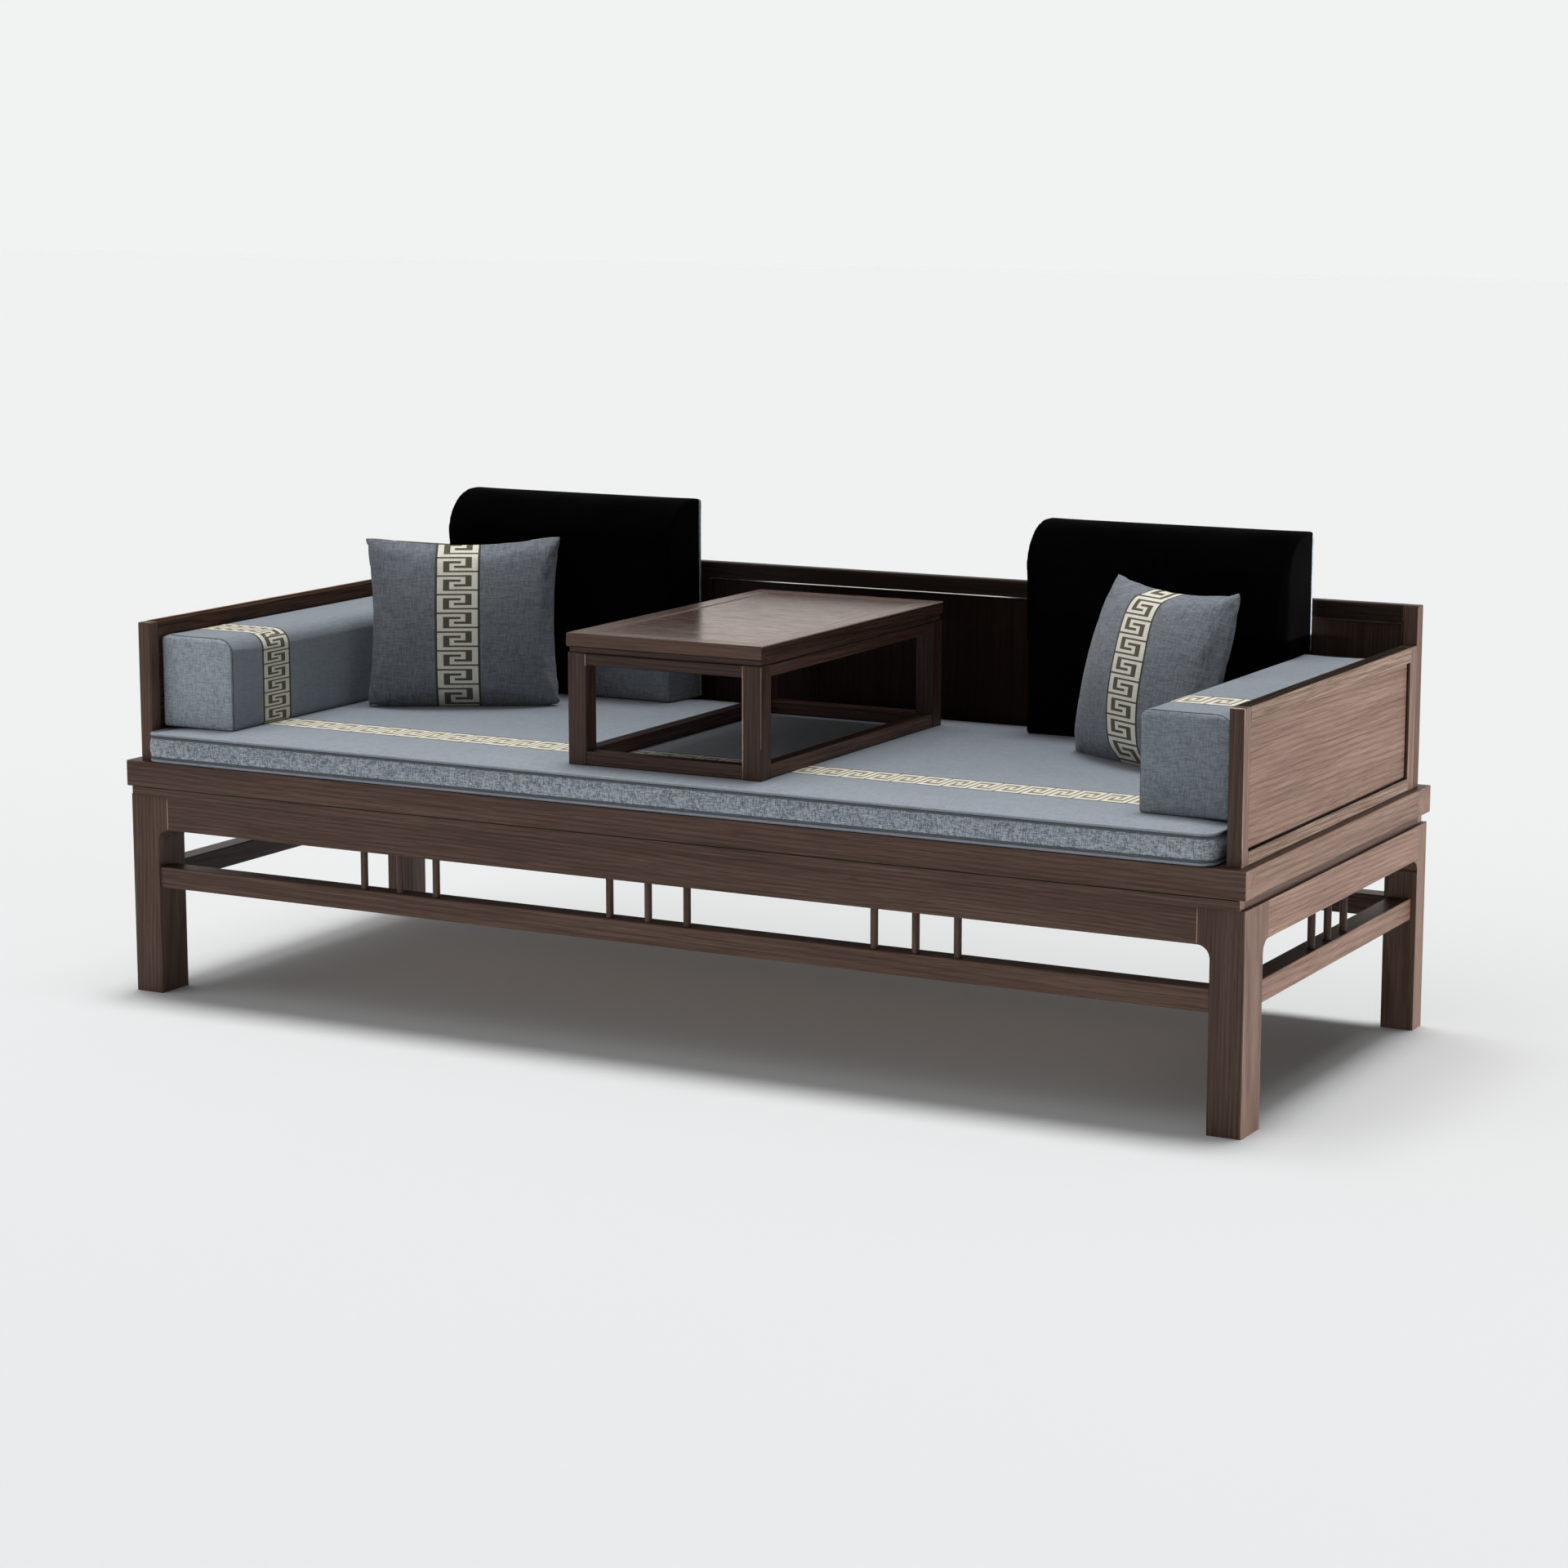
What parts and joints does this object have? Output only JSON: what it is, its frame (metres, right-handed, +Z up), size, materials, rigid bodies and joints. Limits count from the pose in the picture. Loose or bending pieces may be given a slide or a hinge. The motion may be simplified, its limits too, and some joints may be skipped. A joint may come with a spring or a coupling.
{
  "type": "luohan daybed",
  "caption": "Wooden luohan daybed with a framed back and arms, a mattress, bolsters, cushions, pillows and a low tea table.",
  "frame": {"origin": "on the floor under the middle of the seat frame", "axes": "+X along the length, to the right of somebody who faces the front; +Y from the front to the back; +Z up"},
  "size_m": [2, 0.808, 0.7998],
  "materials": {
    "walnut": "dark stained and oiled, satin",
    "walnut_dark": "dark stained and varnished, satin gloss",
    "linen": "grey-blue linen weave",
    "velvet": "near-black short pile"
  },
  "bodies": {
    "daybed_frame": {"apron_back": "walnut", "apron_front": "walnut", "apron_left": "walnut", "apron_right": "walnut", "arm_left_back_post": "walnut", "arm_left_bottom_rail": "walnut", "arm_left_front_post": "walnut", "arm_left_panel": "walnut", "arm_left_top_rail": "walnut", "arm_right_back_post": "walnut", "arm_right_bottom_rail": "walnut", "arm_right_front_post": "walnut", "arm_right_panel": "walnut", "arm_right_top_rail": "walnut", "back_bottom_rail": "walnut", "back_centre_panel": "walnut", "back_left_muntin": "walnut", "back_left_panel": "walnut", "back_left_stile": "walnut", "back_right_muntin": "walnut", "back_right_panel": "walnut", "back_right_stile": "walnut", "back_top_rail": "walnut", "leg_back_left": "walnut", "leg_back_right": "walnut", "leg_front_left": "walnut", "leg_front_right": "walnut", "railing_tenons": "walnut", "seat_battens": "walnut", "seat_panel": "walnut", "seat_rail_back": "walnut", "seat_rail_front": "walnut", "seat_rail_left": "walnut", "seat_rail_right": "walnut", "spindles": "walnut", "stretcher_back": "walnut", "stretcher_front": "walnut", "stretcher_left": "walnut", "stretcher_right": "walnut", "waist_back": "walnut", "waist_front": "walnut", "waist_left": "walnut", "waist_right": "walnut"},
    "mattress_pad": {"mattress": "linen"},
    "tea_table": {"table_aprons": "walnut_dark", "table_foot_rails": "walnut_dark", "table_legs": "walnut_dark", "table_top_panel": "walnut_dark", "table_top_rail_back": "walnut_dark", "table_top_rail_front": "walnut_dark", "table_top_rail_left": "walnut_dark", "table_top_rail_right": "walnut_dark", "table_waist": "walnut_dark"},
    "bolster_left_body": {"bolster_left": "linen"},
    "bolster_right_body": {"bolster_right": "linen"},
    "pillow_left_body": {"pillow_left": "linen"},
    "pillow_right_body": {"pillow_right": "linen"},
    "back_cushion_left_body": {"back_cushion_left": "velvet"},
    "back_cushion_right_body": {"back_cushion_right": "velvet"}
  },
  "joints": [
    {"name": "mattress_lift", "type": "slide", "parent": "daybed_frame", "child": "mattress_pad", "axis": [0, 0, 1], "range_m": [0, 0.35]},
    {"name": "tea_table_lift", "type": "slide", "parent": "mattress_pad", "child": "tea_table", "axis": [0, 0, 1], "range_m": [0, 0.3]},
    {"name": "bolster_left_lift", "type": "slide", "parent": "mattress_pad", "child": "bolster_left_body", "axis": [0, 0, 1], "range_m": [0, 0.25]},
    {"name": "bolster_right_lift", "type": "slide", "parent": "mattress_pad", "child": "bolster_right_body", "axis": [0, 0, 1], "range_m": [0, 0.25]},
    {"name": "back_cushion_left_lift", "type": "slide", "parent": "mattress_pad", "child": "back_cushion_left_body", "axis": [0, 0, 1], "range_m": [0, 0.3]},
    {"name": "back_cushion_right_lift", "type": "slide", "parent": "mattress_pad", "child": "back_cushion_right_body", "axis": [0, 0, 1], "range_m": [0, 0.3]},
    {"name": "pillow_left_lift", "type": "slide", "parent": "mattress_pad", "child": "pillow_left_body", "axis": [0, 0, 1], "range_m": [0, 0.35]},
    {"name": "pillow_right_lift", "type": "slide", "parent": "mattress_pad", "child": "pillow_right_body", "axis": [0, 0, 1], "range_m": [0, 0.35]}
  ]
}
